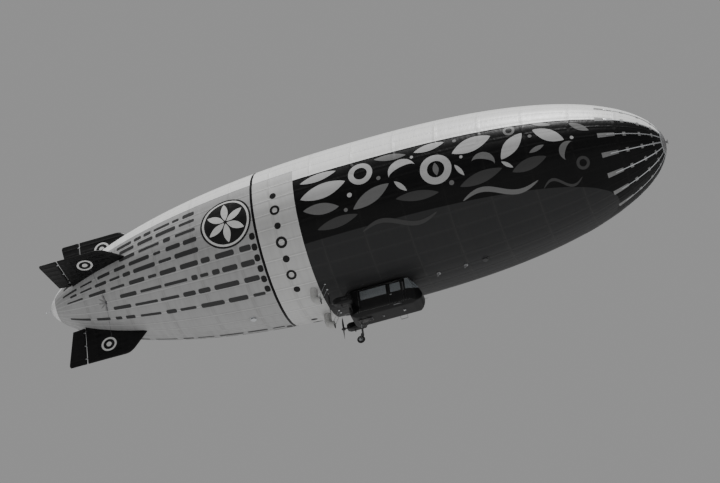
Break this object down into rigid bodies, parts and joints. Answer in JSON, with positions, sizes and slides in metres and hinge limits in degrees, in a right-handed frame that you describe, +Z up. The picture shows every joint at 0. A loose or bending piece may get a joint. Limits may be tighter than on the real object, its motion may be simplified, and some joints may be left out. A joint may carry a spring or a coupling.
{
  "type": "advertising airship",
  "caption": "Non-rigid airship for aerial advertising: gas envelope with a cruciform tail, a cabin gondola with pusher engines, and a castering landing wheel.",
  "frame": {"origin": "centre of buoyancy, on the envelope's axis, where the air holds the airship up", "axes": "+X along the envelope to the nose, +Y to port, +Z up"},
  "size_m": [39.6, 10, 13.4],
  "materials": {
    "envelope": "satin coated fabric",
    "tail": "black doped fabric",
    "gondola": "black gloss paint",
    "glass": "tinted acrylic",
    "metal": "satin",
    "engine": "cast, satin",
    "blade": "dark satin paint",
    "duct": "pale coated fabric",
    "seat": "woven upholstery",
    "tyre": "worn rubber",
    "plastic": "matt"
  },
  "bodies": {
    "hull": {"envelope": "envelope", "helium_valve": "metal", "air_valve_fore": "metal", "air_valve_aft": "metal", "nose_cone": "metal", "nose_battens": "metal", "stern_light": "metal", "cabin_floor": "gondola", "cabin_roof": "gondola", "cabin_nose": "gondola", "cabin_rear": "gondola", "rear_glass": "glass", "gondola_fairing": "gondola", "front_seats": "seat", "rear_bench": "seat", "instrument_panel": "plastic", "elevator_wheel": "metal", "landing_leg": "metal", "fin_top": "tail", "fin_starboard": "tail", "fin_bottom": "tail", "fin_port": "tail", "stays_top_starboard": "metal", "stays_bottom_starboard": "metal", "stays_bottom_port": "metal", "stays_top_port": "metal", "cabin_side_starboard": "gondola", "side_glass_starboard": "glass", "windscreen_starboard": "glass", "outrigger_starboard": "gondola", "cowl_starboard": "gondola", "engine_starboard": "engine", "air_scoop_starboard": "duct", "cabin_side_port": "gondola", "side_glass_port": "glass", "windscreen_port": "glass", "outrigger_port": "gondola", "cowl_port": "gondola", "engine_port": "engine", "air_scoop_port": "duct"},
    "rudder_top": {"rudder_top": "tail"},
    "rudder_bottom": {"rudder_bottom": "tail"},
    "elevator_starboard": {"elevator_starboard": "tail"},
    "elevator_port": {"elevator_port": "tail"},
    "propeller_starboard": {"propeller_starboard": "blade"},
    "propeller_port": {"propeller_port": "blade"},
    "door_starboard": {"door_starboard": "gondola", "door_glass_starboard": "glass"},
    "door_port": {"door_port": "gondola", "door_glass_port": "glass"},
    "caster": {"caster_fork": "metal"},
    "wheel": {"wheel_rim": "metal", "tyre": "tyre"}
  },
  "joints": [
    {"name": "rudder_top_hinge", "type": "hinge", "parent": "hull", "child": "rudder_top", "pos_m": [-19, 0, 3.27], "axis": [0, 0, 1], "range_deg": [-25, 25]},
    {"name": "rudder_bottom_hinge", "type": "hinge", "parent": "hull", "child": "rudder_bottom", "pos_m": [-19, 0, -3.27], "axis": [0, 0, 1], "range_deg": [-25, 25]},
    {"name": "elevator_starboard_hinge", "type": "hinge", "parent": "hull", "child": "elevator_starboard", "pos_m": [-19, -3.27, 0], "axis": [0, 1, 0], "range_deg": [-25, 25]},
    {"name": "elevator_port_hinge", "type": "hinge", "parent": "hull", "child": "elevator_port", "pos_m": [-19, 3.27, 0], "axis": [0, 1, 0], "range_deg": [-25, 25]},
    {"name": "propeller_starboard_shaft", "type": "hinge", "parent": "hull", "child": "propeller_starboard", "pos_m": [-3.225, -1.35, -6.1], "axis": [1, 0, 0], "continuous": true},
    {"name": "door_starboard_hinge", "type": "hinge", "parent": "hull", "child": "door_starboard", "pos_m": [1.146, -0.762, -5.95], "axis": [0, 0, 1], "range_deg": [0, 80]},
    {"name": "propeller_port_shaft", "type": "hinge", "parent": "hull", "child": "propeller_port", "pos_m": [-3.225, 1.35, -6.1], "axis": [1, 0, 0], "continuous": true},
    {"name": "door_port_hinge", "type": "hinge", "parent": "hull", "child": "door_port", "pos_m": [1.146, 0.762, -5.95], "axis": [0, 0, -1], "range_deg": [0, 80]},
    {"name": "caster_swivel", "type": "hinge", "parent": "hull", "child": "caster", "pos_m": [-1.75, 0, -7.8], "axis": [0, 0, 1], "continuous": true},
    {"name": "wheel_spin", "type": "hinge", "parent": "caster", "child": "wheel", "pos_m": [-1.9, 0, -8.16], "axis": [0, 1, 0], "continuous": true}
  ],
  "couplings": [
    {"joint": "rudder_bottom_hinge", "follows": "rudder_top_hinge", "ratio": 1},
    {"joint": "elevator_port_hinge", "follows": "elevator_starboard_hinge", "ratio": 1}
  ]
}
